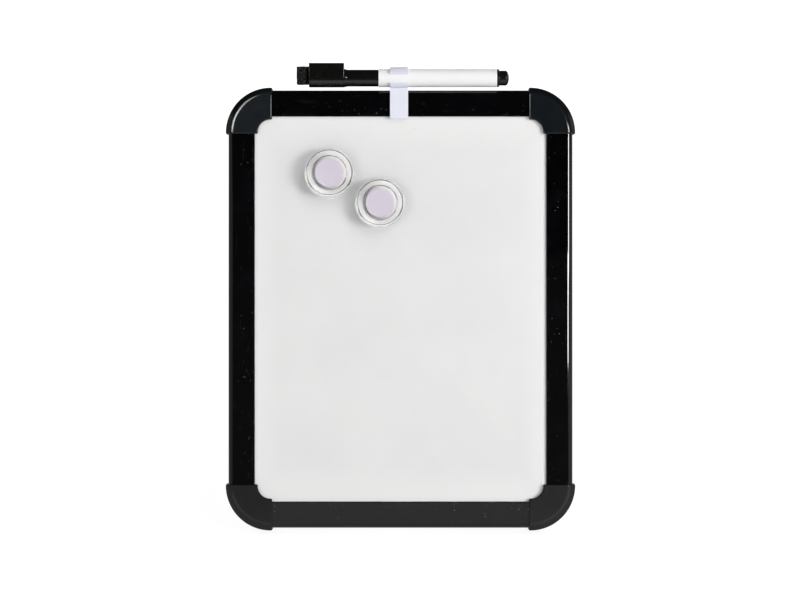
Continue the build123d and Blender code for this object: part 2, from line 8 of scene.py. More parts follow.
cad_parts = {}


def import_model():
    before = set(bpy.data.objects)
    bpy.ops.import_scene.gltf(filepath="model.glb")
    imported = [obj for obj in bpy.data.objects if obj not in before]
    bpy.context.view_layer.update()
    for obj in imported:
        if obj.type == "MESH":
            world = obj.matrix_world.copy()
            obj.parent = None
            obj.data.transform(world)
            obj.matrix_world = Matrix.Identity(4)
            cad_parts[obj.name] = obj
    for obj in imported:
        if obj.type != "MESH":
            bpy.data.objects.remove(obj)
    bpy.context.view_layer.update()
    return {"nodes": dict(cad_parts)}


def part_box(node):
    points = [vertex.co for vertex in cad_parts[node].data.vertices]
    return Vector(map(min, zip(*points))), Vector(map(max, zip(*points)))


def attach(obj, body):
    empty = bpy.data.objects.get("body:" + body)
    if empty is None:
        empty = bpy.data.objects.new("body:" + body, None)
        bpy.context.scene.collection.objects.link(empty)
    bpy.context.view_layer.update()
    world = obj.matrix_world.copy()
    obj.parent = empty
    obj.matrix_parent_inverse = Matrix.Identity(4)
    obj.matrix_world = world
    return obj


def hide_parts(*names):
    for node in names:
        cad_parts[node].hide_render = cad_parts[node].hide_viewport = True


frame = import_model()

# Magnetic desk whiteboard easel. Lengths in this file are in millimetres, in the board's own frame,
# unless a name says otherwise: X to the right, Y from front to back with 0 at the bars' front face,
# Z up along the board with 0 at its middle. BOARD takes that frame to the part's own, in metres.

nodes = frame["nodes"]

MM = 0.001
LEAN = math.radians(15)

# ---- Values of the part that the detailed pieces repeat ----
SHEET_FRONT = 1.2
SHEET_THICKNESS = 0.3
SHEET_HALF_WIDTH = 90.2
SHEET_HALF_HEIGHT = 119.2
MARKER_Y = 3.1
MARKER_Z = 143.37
BARREL_LEFT = -13.6
BARREL_RIGHT = 59.85  # a little short of the solid's own, so that the plug's flange shows
BARREL_RADIUS = 5.65
BARREL_BORE = 4.7  # radius
PLUG_END = 67.3
CAP_MOUTH = -13.7
CAP_SHOULDER = -35.0
CAP_RADIUS = 5.24
CAP_FLARE = 1.8  # length of the cone at the shoulder
HOLDER_LEFT = -56.7
HOLDER_RADIUS = 5.8
HOLDER_TOP = 9.0  # of the flat, above the marker's axis
FELT_PAINTED_SHADE_SPAN = (HOLDER_LEFT - 2.2, HOLDER_LEFT - 1.4)  # painted shade darkens the felt between these, towards where it goes into its holder
MAGNET_PLACES = {"left": (-44.0, 84.3), "right": (-12.6, 65.8)}
MAGNET_BACK = 1.1

# ---- Camera: square on to the board ----
PHOTO_SCALE = 0.6195  # millimetres to a pixel at the board's front
PHOTO_SIZE = (800, 600)
PHOTO_CENTRE = (400.5, 309.1)  # where the board's middle is in the frame
CAMERA_DISTANCE = 1500.0
SENSOR = 36.0  # its width
FARTHEST_SEEN = 50  # metres


def board_matrix():
    """From the board's frame in millimetres to the part's frame in metres."""
    low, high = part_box("writing_sheet")
    turn = Matrix.Rotation(-LEAN, 4, "X")
    sheet_middle = Vector((0, (SHEET_FRONT + SHEET_THICKNESS / 2) * MM, 0))
    place = (Vector(low) + Vector(high)) / 2 - turn @ sheet_middle
    place.x = 0
    return Matrix.Translation(place) @ turn @ Matrix.Scale(MM, 4)


BOARD = board_matrix()
RIGHT = Vector((1, 0, 0))
UP = (BOARD.to_3x3() @ Vector((0, 0, 1))).normalized()
BOARD_FRONT = (BOARD.to_3x3() @ Vector((0, -1, 0))).normalized()  # the way that the sheet faces
WALL_GLOW_INWARD = RIGHT * 0.86 + UP * 0.5  # from the magnets' far walls, across them
TURNED_MIDDLE = Matrix.Rotation(LEAN, 3, "X") @ (BOARD @ Vector((0, 0, 0)))
BOARD_MIDDLE = dict(zip("XYZ", TURNED_MIDDLE))  # of the coordinates that the materials use


# ---------------------------------------------------------------- materials


class Shader:
    """A small helper around one node tree with a Principled shader."""

    def __init__(self, name, **values):
        self.material = bpy.data.materials.new(name)
        self.material.use_nodes = True
        self.tree = self.material.node_tree
        self.tree.nodes.clear()
        self.output = self.tree.nodes.new("ShaderNodeOutputMaterial")
        self.main = self.tree.nodes.new("ShaderNodeBsdfPrincipled")
        self.tree.links.new(self.main.outputs[0], self.output.inputs["Surface"])
        for key, value in values.items():
            self.main.inputs[key.replace("_", " ")].default_value = value
        self.coords = self.board_coords()

    def node(self, kind, **values):
        made = self.tree.nodes.new("ShaderNode" + kind)
        for key, value in values.items():
            setattr(made, key, value)
        return made

    def link(self, source, target):
        self.tree.links.new(source, target)

    def board_coords(self):
        """Coordinates in metres along the board's own axes."""
        source = self.node("TexCoord")
        turned = self.node("Mapping")
        turned.inputs["Rotation"].default_value = (LEAN, 0, 0)
        self.link(source.outputs["Object"], turned.inputs["Vector"])
        return turned.outputs["Vector"]

    def stretched(self, scale):
        """The same coordinates, scaled along each axis."""
        mapping = self.node("Mapping")
        mapping.inputs["Scale"].default_value = scale
        self.link(self.coords, mapping.inputs["Vector"])
        return mapping.outputs["Vector"]

    def noise(self, size, detail, roughness=0.5, coords=None):
        """Noise, from 0 to 1, with features of about that many millimetres."""
        made = self.node("TexNoise")
        made.inputs["Scale"].default_value = 1 / (size * MM)
        made.inputs["Detail"].default_value = detail
        made.inputs["Roughness"].default_value = roughness
        self.link(coords or self.coords, made.inputs["Vector"])
        return made.outputs["Fac"]

    def specks(self, spacing, radius):
        """1 inside scattered specks of up to that radius, and 0 elsewhere; both in millimetres."""
        cells = self.node("TexVoronoi")
        cells.inputs["Scale"].default_value = 1 / (spacing * MM)
        self.link(self.coords, cells.inputs["Vector"])
        # The cells of low random values stay empty.
        size = self.ramp(cells.outputs["Color"], 0.35, 1.0, 0.0, radius / spacing)
        inside = self.node("Math", operation="LESS_THAN")
        self.link(cells.outputs["Distance"], inside.inputs[0])
        self.link(size, inside.inputs[1])
        return inside.outputs[0]

    def ramp(self, value, low, high, to_low=0.0, to_high=1.0):
        """The value taken linearly from one range to another, and kept in it."""
        made = self.node("MapRange")
        made.inputs["From Min"].default_value = low
        made.inputs["From Max"].default_value = high
        made.inputs["To Min"].default_value = to_low
        made.inputs["To Max"].default_value = to_high
        self.link(value, made.inputs["Value"])
        return made.outputs["Result"]

    def math(self, operation, first, second=None):
        """One sum on sockets or numbers."""
        made = self.node("Math", operation=operation)
        for socket, value in zip(made.inputs, (first, second)):
            if isinstance(value, (int, float)):
                socket.default_value = value
            elif value is not None:
                self.link(value, socket)
        return made.outputs[0]

    def axis(self, letter, length):
        """One of the board's coordinates from its middle, in units of a length in millimetres."""
        parts = self.node("SeparateXYZ")
        self.link(self.coords, parts.inputs[0])
        from_middle = self.math("SUBTRACT", parts.outputs[letter], BOARD_MIDDLE[letter])
        return self.math("MULTIPLY", from_middle, 1 / (length * MM))

    def facing(self, direction):
        """How far the bare face points along a fixed direction, from -1 to 1."""
        surface = self.node("NewGeometry")
        product = self.node("VectorMath", operation="DOT_PRODUCT")
        self.link(surface.outputs["True Normal"], product.inputs[0])
        product.inputs[1].default_value = direction
        return product.outputs["Value"]

    def mix(self, factor, first, second):
        """Colour between two colours or sockets."""
        made = self.node("Mix", data_type="RGBA")
        self.link(factor, made.inputs["Factor"])
        for socket, value in ((made.inputs[6], first), (made.inputs[7], second)):
            if isinstance(value, tuple):
                socket.default_value = (*value, 1)
            else:
                self.link(value, socket)
        return made.outputs[2]

    def colour(self, socket):
        self.link(socket, self.main.inputs["Base Color"])

    def roughness(self, socket):
        self.link(socket, self.main.inputs["Roughness"])

    def drift(self, size, detail, first, second, roughness=0.5):
        """Colour that drifts between two, over about that many millimetres."""
        return self.mix(self.ramp(self.noise(size, detail, roughness), 0.3, 0.7), first, second)

    def uneven_gloss(self, size, detail, low, high):
        """Roughness that drifts between two values, over about that many millimetres."""
        self.roughness(self.ramp(self.noise(size, detail), 0.3, 0.7, low, high))

    def bump(self, height, depth):
        """Bump whose height of 1 stands that many millimetres proud."""
        made = self.node("Bump")
        made.inputs["Strength"].default_value = 1.0
        made.inputs["Distance"].default_value = depth * MM
        self.link(height, made.inputs["Height"])
        self.link(made.outputs["Normal"], self.main.inputs["Normal"])


def plain_finish(name, tones, gloss, grain, depth, **values):
    """A finish of drifting tone and gloss with a fine grain: what drift, uneven_gloss and noise take, and
    the depth of the grain in millimetres."""
    s = Shader(name, **values)
    s.colour(s.drift(*tones))
    s.uneven_gloss(*gloss)
    s.bump(s.noise(*grain), depth)
    return s.material


def enamel():
    """Gloss white coating of the writing sheet: faint orange peel, wiping marks and a few ink specks. It is
    lighter towards its borders, and its grey clouds are fainter there."""
    s = Shader("enamel_white", IOR=1.5, Coat_Weight=0.3, Coat_Roughness=0.05)
    across = s.axis("X", SHEET_HALF_WIDTH)
    along = s.axis("Z", SHEET_HALF_HEIGHT)
    edge = s.math("MAXIMUM", s.math("ABSOLUTE", across), s.math("ABSOLUTE", along))
    # Lighter towards the borders, with the clouds fainter there.
    border = s.ramp(edge, 0.82, 1.0)
    clouds = s.ramp(s.noise(55, 4, 0.55), 0.3, 0.72)
    haze = s.math("MULTIPLY", clouds, s.ramp(border, 0.0, 1.0, 1.0, 0.25))
    tone = s.mix(haze, (0.83, 0.827, 0.825), (0.79, 0.784, 0.783))
    tone = s.mix(s.math("MULTIPLY", border, 0.75), tone, (0.865, 0.862, 0.858))
    smears = s.noise(9, 5, 0.65, s.stretched((1.0, 1.0, 0.22)))
    tone = s.mix(s.ramp(smears, 0.66, 0.8, 0.0, 0.3), tone, (0.86, 0.857, 0.855))
    s.colour(s.mix(s.specks(9, 0.33), tone, (0.6, 0.6, 0.61)))
    wiped = s.noise(30, 4, 0.6, s.stretched((1.0, 1.0, 0.15)))
    s.roughness(s.ramp(wiped, 0.3, 0.75, 0.08, 0.15))
    s.bump(s.noise(1.4, 2), 0.003)
    return s.material


def bar_coating():
    """Gloss black coating on the extruded bars, faintly drawn along each bar's length, with dust that lies
    thicker in places and a few bluish smears."""
    s = Shader("bar_gloss_black", IOR=1.62)
    across = s.math("ABSOLUTE", s.axis("X", SHEET_HALF_WIDTH))
    along = s.math("ABSOLUTE", s.axis("Z", SHEET_HALF_HEIGHT))
    upright = s.math("GREATER_THAN", across, along)
    drawn_up = s.math("MULTIPLY", upright, s.noise(0.7, 1, 0.5, s.stretched((1, 1, 0.03))))
    level = s.math("SUBTRACT", 1.0, upright)
    drawn_across = s.math("MULTIPLY", level, s.noise(0.7, 1, 0.5, s.stretched((0.03, 1, 1))))
    scratches = s.ramp(s.math("ADD", drawn_up, drawn_across), 0.66, 0.74)
    scratches = s.math("MULTIPLY", scratches, s.ramp(s.noise(30, 3), 0.48, 0.6))
    smears = s.ramp(s.noise(17, 4, 0.6), 0.52, 0.72)
    tone = s.mix(smears, (0.0011, 0.0011, 0.0015), (0.0028, 0.0028, 0.004))
    tone = s.mix(scratches, tone, (0.014, 0.014, 0.015))
    dusty = s.ramp(s.noise(14, 3, 0.6), 0.4, 0.62, 0.12, 1.0)
    dust = s.math("MULTIPLY", s.specks(2.1, 0.31), dusty)
    s.colour(s.mix(dust, tone, (0.2, 0.2, 0.205)))
    s.uneven_gloss(9, 3, 0.045, 0.065)
    s.bump(s.noise(0.9, 2), 0.0001)
    return s.material


def cap_plastic():
    """Satin moulded plastic of the corner caps, cloudy and finely scuffed on its front, with a few dust
    specks. Each cap's front tone is a painted reflection: lighter and bluish on the top left, darkest on the
    top right, lighter and grey on the lower two. Its sides are darker, a painted shade."""
    s = Shader("cap_satin_black", IOR=1.46)
    clouds = s.ramp(s.noise(7, 4, 0.6), 0.35, 0.7)
    # Painted reflection, cloudy within each cap: the top right tone is the darkest, the top left one lighter
    # and bluish, and the lower ones lighter and grey.
    clean = s.mix(clouds, (0.006, 0.0076, 0.0092), (0.0082, 0.0099, 0.0118))
    painted_sheen_top_left = s.mix(clouds, (0.0095, 0.0122, 0.0143), (0.0125, 0.0152, 0.0175))
    painted_sheen_low_right = s.mix(clouds, (0.0193, 0.0193, 0.0207), (0.0225, 0.0225, 0.0238))
    painted_sheen_low_left = s.mix(clouds, (0.0158, 0.0158, 0.0168), (0.0186, 0.0186, 0.0196))
    left = s.ramp(s.axis("X", SHEET_HALF_WIDTH), -0.9, 0.9, 1.0, 0.0)
    low = s.ramp(s.axis("Z", SHEET_HALF_HEIGHT), -0.9, 0.9, 1.0, 0.0)
    tone = s.mix(low, s.mix(left, clean, painted_sheen_top_left), s.mix(left, painted_sheen_low_right, painted_sheen_low_left))
    # Painted shade: the caps' sides, which don't face the board's front, are darker than their fronts.
    front = s.ramp(s.math("ABSOLUTE", s.facing(BOARD_FRONT)), 0.6, 0.96)
    tone = s.mix(front, (0.0028, 0.0028, 0.003), tone)
    s.colour(s.mix(s.specks(2.2, 0.12), tone, (0.035, 0.037, 0.04)))
    s.uneven_gloss(3, 3, 0.11, 0.14)
    s.bump(s.noise(0.6, 3, 0.6), 0.0004)
    return s.material


def marker_black():
    """Glossy black plastic of the marker's ends."""
    s = Shader("marker_gloss_black", IOR=1.5)
    dust = s.specks(1.8, 0.13)
    s.colour(s.mix(dust, (0.0045, 0.0042, 0.004), (0.05, 0.05, 0.05)))
    s.uneven_gloss(4, 3, 0.1, 0.16)
    s.bump(s.noise(1.2, 2, 0.5, s.stretched((0.2, 1, 1))), 0.0014)
    return s.material


def barrel_white():
    """White plastic of the barrel, faintly drawn along its length."""
    s = Shader("barrel_gloss_white", IOR=1.46)
    tone = s.noise(14, 3, 0.5, s.stretched((0.25, 1, 1)))
    s.colour(s.mix(s.ramp(tone, 0.3, 0.7), (0.87, 0.867, 0.877), (0.9, 0.897, 0.905)))
    s.uneven_gloss(2.5, 3, 0.32, 0.4)
    s.bump(s.noise(0.8, 2, 0.5, s.stretched((0.1, 1, 1))), 0.001)
    return s.material


def clip_plastic():
    """Smooth pale lilac plastic of the clip."""
    s = Shader("clip_pale_lilac", IOR=1.46)
    tone = s.drift(5, 3, (0.74, 0.753, 0.848), (0.76, 0.773, 0.868))
    s.colour(s.mix(s.specks(2.6, 0.16), tone, (0.6, 0.61, 0.74)))
    s.uneven_gloss(2, 3, 0.32, 0.4)
    s.bump(s.noise(0.5, 2), 0.002)
    return s.material


def felt():
    """Dark grey felt, mottled, with paler fibres, and a painted shade where it goes into its holder."""
    s = Shader("felt_dark_grey", Roughness=0.95, Specular_IOR_Level=0.1, Sheen_Weight=0.03)
    clumps = s.noise(1.5, 3, 0.65)
    base = s.mix(s.ramp(clumps, 0.44, 0.58), (0.0022, 0.0023, 0.0021), (0.02, 0.021, 0.019))
    tone = s.mix(s.ramp(s.noise(0.6, 3, 0.7), 0.55, 0.65), base, (0.05, 0.052, 0.047))
    painted_shade = s.ramp(s.axis("X", 1), *FELT_PAINTED_SHADE_SPAN)
    s.colour(s.mix(painted_shade, tone, (0.003, 0.003, 0.003)))
    s.bump(s.noise(0.18, 3, 0.7), 0.12)
    return s.material


def felt_fibre():
    """Loose fibres on the felt, a little paler than the pad, with the pad's painted shade near the holder."""
    s = Shader("felt_fibre_grey", Roughness=0.9, Specular_IOR_Level=0.15)
    tone = s.mix(s.ramp(s.noise(0.4, 2), 0.35, 0.65), (0.006, 0.0065, 0.006), (0.042, 0.043, 0.04))
    painted_shade = s.ramp(s.axis("X", 1), *FELT_PAINTED_SHADE_SPAN)
    s.colour(s.mix(painted_shade, tone, (0.004, 0.004, 0.004)))
    return s.material


def acrylic():
    """Clear moulded acrylic, with a painted shade along its rounded edges for the dark lines that refraction
    draws there. Light on other parts passes straight through it. Little of it gets in by the coned outer wall
    or by the side of the pocket away from the key light, and the outer wall there turns more of it down, as
    it does inside real acrylic."""
    s = Shader("acrylic_clear", IOR=1.49, Transmission_Weight=1.0, Roughness=0.0)
    slope = s.math("ABSOLUTE", s.facing(BOARD_FRONT))
    inward = s.facing(WALL_GLOW_INWARD)
    # Painted shade: faces that are neither flat nor upright, the rounded edges, turn dark.
    edge = s.math("MULTIPLY", s.ramp(slope, 0.24, 0.34), s.ramp(slope, 0.93, 0.99, 1.0, 0.0))
    s.colour(s.mix(edge, (0.992, 0.99, 0.992), (0.02, 0.02, 0.022)))
    leaving = s.node("NewGeometry").outputs["Backfacing"]
    flat = s.ramp(slope, 0.45, 0.8)
    pocket = s.ramp(slope, 0.03, 0.08, 1.0, 0.0)
    outer_wall = s.math("SUBTRACT", 1.0, s.math("MAXIMUM", flat, pocket))
    far_side = s.ramp(inward, -0.1, 0.6)
    blocked = s.math("MULTIPLY", outer_wall, s.math("SUBTRACT", 1.0, leaving))
    blocked = s.math("MAXIMUM", blocked, s.math("MULTIPLY", pocket, far_side))
    out_by_wall = s.math("MULTIPLY", outer_wall, leaving)
    turned_down = s.math("MULTIPLY", out_by_wall, s.ramp(inward, 0.45, 0.95))
    let_in = s.math("MULTIPLY", out_by_wall, s.ramp(inward, -0.9, -0.3, 1.0, 0.0))
    clear = s.node("BsdfTransparent")
    level = s.mix(blocked, (0.97, 0.97, 0.972), (0.2, 0.202, 0.208))
    level = s.mix(let_in, level, (1.5, 1.49, 1.47))
    s.link(s.mix(turned_down, level, (3.2, 3.2, 3.2)), clear.inputs["Color"])
    path = s.node("LightPath")
    passing = s.math("MAXIMUM", path.outputs["Is Shadow Ray"], path.outputs["Is Diffuse Ray"])
    either = s.node("MixShader")
    s.link(passing, either.inputs["Fac"])
    s.link(s.main.outputs[0], either.inputs[1])
    s.link(clear.outputs[0], either.inputs[2])
    s.link(either.outputs[0], s.output.inputs["Surface"])
    s.bump(s.noise(12, 2), 0.0004)
    return s.material


def lilac_card():
    """Pale lilac card of the magnets' inserts."""
    s = Shader("insert_lilac", IOR=1.45, Roughness=0.6)
    s.colour(s.drift(3, 4, (0.71, 0.645, 0.745), (0.745, 0.675, 0.78), 0.6))
    s.bump(s.noise(0.3, 3), 0.006)
    return s.material


def zinc():
    """Zinc-plated steel, slightly cloudy."""
    s = Shader("zinc_plate", Metallic=1.0)
    s.colour(s.drift(1.6, 4, (0.5, 0.5, 0.49), (0.66, 0.66, 0.65), 0.6))
    s.uneven_gloss(0.5, 3, 0.28, 0.45)
    s.bump(s.noise(0.25, 2, 0.5, s.stretched((1, 1, 0.2))), 0.006)
    return s.material


def nickel():
    """Bright nickel plating of the magnets."""
    tones = (2, 3, (0.56, 0.54, 0.5), (0.66, 0.64, 0.6))
    return plain_finish("nickel_plate", tones, (0.6, 3, 0.18, 0.3), (0.4, 2), 0.004, Metallic=1.0)


def powder_coat():
    """Black powder coat of the pressed bracket."""
    tones = (4, 3, (0.016, 0.016, 0.017), (0.026, 0.026, 0.028))
    return plain_finish("powder_coat_black", tones, (1.2, 3, 0.42, 0.55), (0.55, 2), 0.03, IOR=1.5)


def grained_plastic():
    """Black plastic of the strut, with a fine spark-eroded grain."""
    tones = (12, 4, (0.015, 0.015, 0.016), (0.024, 0.024, 0.026))
    grain = (0.35, 3, 0.6)
    return plain_finish("strut_grained_black", tones, (0.7, 3, 0.45, 0.6), grain, 0.02, IOR=1.46)


def backing_plastic():
    """Grey backing sheet with a fine extruded grain."""
    s = Shader("backing_grey", IOR=1.46)
    drawn = s.noise(1.2, 3, 0.6, s.stretched((1, 1, 0.04)))
    tone = s.drift(40, 3, (0.26, 0.27, 0.285), (0.3, 0.31, 0.325))
    s.colour(s.mix(s.ramp(drawn, 0.35, 0.7), tone, (0.23, 0.24, 0.255)))
    s.uneven_gloss(0.8, 3, 0.5, 0.62)
    s.bump(drawn, 0.012)
    return s.material


def fibreboard():
    """Raw brown fibreboard of the core."""
    s = Shader("fibreboard_brown", Roughness=0.9)
    strands = s.noise(0.8, 4, 0.7, s.stretched((1, 0.3, 1)))
    s.colour(s.mix(s.ramp(strands, 0.3, 0.7), (0.3, 0.21, 0.13), (0.46, 0.34, 0.22)))
    s.bump(strands, 0.08)
    return s.material


def rubber():
    """Matt black rubber, slightly dusty."""
    s = Shader("rubber_black", IOR=1.5)
    s.colour(s.mix(s.ramp(s.noise(1.5, 4, 0.6), 0.4, 0.75), (0.016, 0.016, 0.016), (0.04, 0.04, 0.039)))
    s.uneven_gloss(1, 3, 0.72, 0.88)
    s.bump(s.noise(0.3, 3), 0.015)
    return s.material


def moulded_dark():
    """Dark moulded plastic of the parts inside."""
    tones = (3, 3, (0.06, 0.06, 0.064), (0.085, 0.085, 0.09))
    return plain_finish("inner_dark_plastic", tones, (1, 3, 0.45, 0.6), (0.4, 2), 0.01, IOR=1.46)


def seal_plastic():
    """Soft milky plastic of the seal in the cap."""
    tones = (2, 3, (0.66, 0.66, 0.64), (0.74, 0.74, 0.72))
    return plain_finish("seal_milky", tones, (1, 3, 0.35, 0.5), (0.5, 2), 0.006, IOR=1.46)


def nib_fibre():
    """Pressed fibre, soaked with black ink."""
    s = Shader("nib_fibre_black")
    along = s.noise(0.15, 3, 0.7, s.stretched((0.1, 1, 1)))
    s.colour(s.mix(s.ramp(along, 0.35, 0.7), (0.006, 0.006, 0.008), (0.03, 0.03, 0.036)))
    s.roughness(s.ramp(along, 0.3, 0.7, 0.6, 0.85))
    s.bump(along, 0.03)
    return s.material


MATERIALS = {
    "writing_steel": enamel(),
    "core_board": fibreboard(),
    "backing": backing_plastic(),
    "bar_black": bar_coating(),
    "cap_plastic": cap_plastic(),
    "connector_plastic": moulded_dark(),
    "screw_steel": zinc(),
    "bracket_steel": powder_coat(),
    "pad_rubber": rubber(),
    "strut_plastic": grained_plastic(),
    "clip_plastic": clip_plastic(),
    "barrel_plastic": barrel_white(),
    "marker_black": marker_black(),
    "nib_felt": nib_fibre(),
    "seal_plastic": seal_plastic(),
    "magnet_metal": nickel(),
    "eraser_felt": felt(),
    "clear_acrylic": acrylic(),
    "lilac_insert": lilac_card(),
}


def dress_cad_nodes():
    """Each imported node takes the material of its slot."""
    for node in nodes.values():
        for slot in node.material_slots:
            slot.material = MATERIALS[slot.material.name]


# ---------------------------------------------------------------- pieces


def rounded_path(points, steps=5):
    """A closed outline from (a, b, radius) corners, with an arc of that radius at each."""
    path = []
    count = len(points)
    for i, (a, b, radius) in enumerate(points):
        corner = Vector((a, b))
        if radius == 0:
            path.append(corner)
            continue
        before = (Vector(points[i - 1][:2]) - corner).normalized()
        after = (Vector(points[(i + 1) % count][:2]) - corner).normalized()
        half = before.angle(after) / 2
        centre = corner + (before + after).normalized() * radius / math.sin(half)
        start = corner + before * radius / math.tan(half)
        end = corner + after * radius / math.tan(half)
        first, last = start - centre, end - centre
        turn = first.angle_signed(last)
        for k in range(steps + 1):
            path.append(centre + Matrix.Rotation(-turn * k / steps, 2) @ first)
    return path


def turned(outline, origin, axis, steps):
    """Vertices and faces of a closed outline of (along, radius), turned about an axis."""
    side = axis.orthogonal().normalized()
    other = axis.cross(side)
    count = len(outline)
    verts = []
    faces = []
    for i in range(steps):
        angle = 2 * math.pi * i / steps
        out = side * math.cos(angle) + other * math.sin(angle)
        verts += [origin + axis * along + out * radius for along, radius in outline]
        for k in range(count):
            a, b = i * count + k, i * count + (k + 1) % count
            shift = ((i + 1) % steps - i) * count
            faces.append((a, a + shift, b + shift, b))
    return verts, faces


def arc(centre, radius, first, last, steps):
    """Points of an arc between two angles in degrees."""
    angles = [math.radians(first + (last - first) * k / steps) for k in range(steps + 1)]
    return [(centre[0] + radius * math.cos(a), centre[1] + radius * math.sin(a)) for a in angles]


COINCIDENT = 1e-4
DEGENERATE = 1e-5


def clean(bm):
    """Merges what coincides and turns the faces outwards, in a mesh in millimetres."""
    bmesh.ops.remove_doubles(bm, verts=bm.verts, dist=COINCIDENT)
    bmesh.ops.dissolve_degenerate(bm, edges=bm.edges, dist=DEGENERATE)
    bmesh.ops.recalc_face_normals(bm, faces=bm.faces)


def piece(name, bm, body, slot, stands_for=(), sharp=32, matrix=BOARD):
    """An object from mesh code, on its body, with the material of its slot. Edges of more than that many
    degrees stay sharp."""
    mesh = bpy.data.meshes.new(name)
    bm.to_mesh(mesh)
    bm.free()
    mesh.transform(matrix)
    mesh.materials.append(MATERIALS[slot])
    mesh.shade_smooth()
    mesh.set_sharp_from_angle(angle=math.radians(sharp))
    made = bpy.data.objects.new(name, mesh)
    bpy.context.scene.collection.objects.link(made)
    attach(made, body)
    if stands_for:
        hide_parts(*stands_for)
    return made


def steady_normals(made):
    """Keeps the large faces of a piece flat or round up to its rounded edges."""
    weighted = made.modifiers.new("weighted", "WEIGHTED_NORMAL")
    weighted.keep_sharp = True


def turned_piece(name, outline, origin, axis, body, slot, stands_for, steps=160):
    """A piece from a turned outline, in place of a node."""
    bm = bmesh.new()
    verts, faces = turned(outline, origin, axis, steps)
    made = [bm.verts.new(v) for v in verts]
    for face in faces:
        bm.faces.new([made[i] for i in face])
    clean(bm)
    return piece(name, bm, body, slot, (stands_for,))


FLAT_WITHIN = math.radians(0.4)
SHARP_BEYOND = math.radians(28)
MERGE_BEFORE = 1e-6  # metres, as the nodes are
MERGE_AFTER = 2e-6


def softened_node(node, name, width, body, slot):
    """A node's shape with its sharp edges rounded, in place of the node."""
    bm = bmesh.new()
    bm.from_mesh(nodes[node].data)
    bmesh.ops.remove_doubles(bm, verts=bm.verts, dist=MERGE_BEFORE)
    bmesh.ops.dissolve_limit(bm, angle_limit=FLAT_WITHIN, verts=bm.verts, edges=bm.edges)
    shared = [e for e in bm.edges if len(e.link_faces) == 2]
    edges = [e for e in shared if e.calc_face_angle() > SHARP_BEYOND]
    bmesh.ops.bevel(
        bm, geom=edges, offset=width * MM, offset_type="OFFSET", segments=3, profile=0.5,
        affect="EDGES", clamp_overlap=True, harden_normals=False,
    )
    bmesh.ops.remove_doubles(bm, verts=bm.verts, dist=MERGE_AFTER)
    bmesh.ops.dissolve_degenerate(bm, edges=bm.edges, dist=MERGE_AFTER)
    steady_normals(piece(name, bm, body, slot, (node,), sharp=50, matrix=Matrix.Identity(4)))


# ---- Marker ----
MARKER_ORIGIN = Vector((0, MARKER_Y, MARKER_Z))


def marker_piece(name, outline, body, slot, stands_for):
    """A turned piece on the marker's axis."""
    steady_normals(turned_piece(name, outline, MARKER_ORIGIN, RIGHT, body, slot, stands_for))


def barrel():
    """Tube with a fine groove that marks off a ring at the plug's end."""
    groove = 0.07
    ring = 0.95
    corners = [
        (BARREL_LEFT, BARREL_BORE, 0),
        (BARREL_LEFT, BARREL_RADIUS, 0.2),
        (BARREL_RIGHT - ring - groove, BARREL_RADIUS, 0),
        (BARREL_RIGHT - ring, BARREL_RADIUS - groove, 0),
        (BARREL_RIGHT - ring + groove, BARREL_RADIUS, 0),
        (BARREL_RIGHT, BARREL_RADIUS, 0.45),
        (BARREL_RIGHT, BARREL_BORE, 0),
    ]
    outline = rounded_path(corners)
    marker_piece("marker_barrel_tube", outline, "marker", "barrel_plastic", "marker_barrel")


def end_plug():
    """Spigot inside the barrel, flange as wide as the barrel, and a knob with a low dome."""
    spigot_left = 54.1
    spigot_radius = 4.6
    flange_left = BARREL_RIGHT + 0.03
    flange_right = BARREL_RIGHT + 1.2
    flange_radius = 5.63
    waist = BARREL_RIGHT + 1.45
    waist_radius = 4.62
    dome_start = 65.2
    dome_radius = 4.65
    corners = [
        (spigot_left, 0, 0),
        (spigot_left, spigot_radius, 0.3),
        (flange_left, spigot_radius, 0),
        (flange_left, flange_radius, 0.06),
        (flange_right, flange_radius - 0.13, 0.35),
        (waist, waist_radius, 0.45),
    ]
    for rise, out in arc((0, 0), 1, 90, 0, 12):
        corners.append((dome_start + (PLUG_END - dome_start) * rise, dome_radius * out, 0))
    outline = rounded_path(corners, 8)
    marker_piece("marker_plug_knob", outline, "marker", "marker_black", "marker_end_plug")


def cap_sleeve():
    """Round sleeve of the marker's cap, with the spigot inside the eraser holder."""
    spigot_left = CAP_SHOULDER - 6.0
    spigot_radius = 3.6
    shoulder = CAP_SHOULDER + 0.01
    flare_end = CAP_SHOULDER + CAP_FLARE
    bore_radius = 4.28
    bore_end = CAP_SHOULDER + 1.6
    corners = [
        (spigot_left, 0, 0),
        (spigot_left, spigot_radius, 0.4),
        (shoulder, spigot_radius, 0),
        (shoulder, HOLDER_RADIUS - 0.05, 0.05),
        (flare_end - 0.12, CAP_RADIUS + 0.07, 0.3),
        (flare_end + 0.1, CAP_RADIUS, 0.1),
        (CAP_MOUTH, CAP_RADIUS, 0.22),
        (CAP_MOUTH, bore_radius, 0.1),
        (bore_end, bore_radius, 0),
        (bore_end, 0, 0),
    ]
    outline = rounded_path(corners)
    marker_piece("marker_cap_sleeve", outline, "cap", "marker_black", "marker_cap")


FELT_LEFT = HOLDER_LEFT - 7.7
FELT_RIGHT = HOLDER_LEFT + 4.0
FELT_HALF_DEPTH = 4.6
FELT_LOW = -4.0
FELT_HIGH = 7.0
FELT_ROUNDING = 0.75
FELT_EDGE = 0.35  # longest edge of the pad's mesh
FELT_SPLITS = 6
FELT_SUNK = 0.2  # so that the lumps stay inside the solid
FIBRES = 1500
FIBRE_SEED = 7
FIBRE_LENGTHS = (0.2, 0.5)
FIBRE_WIDTHS = (0.016, 0.03)


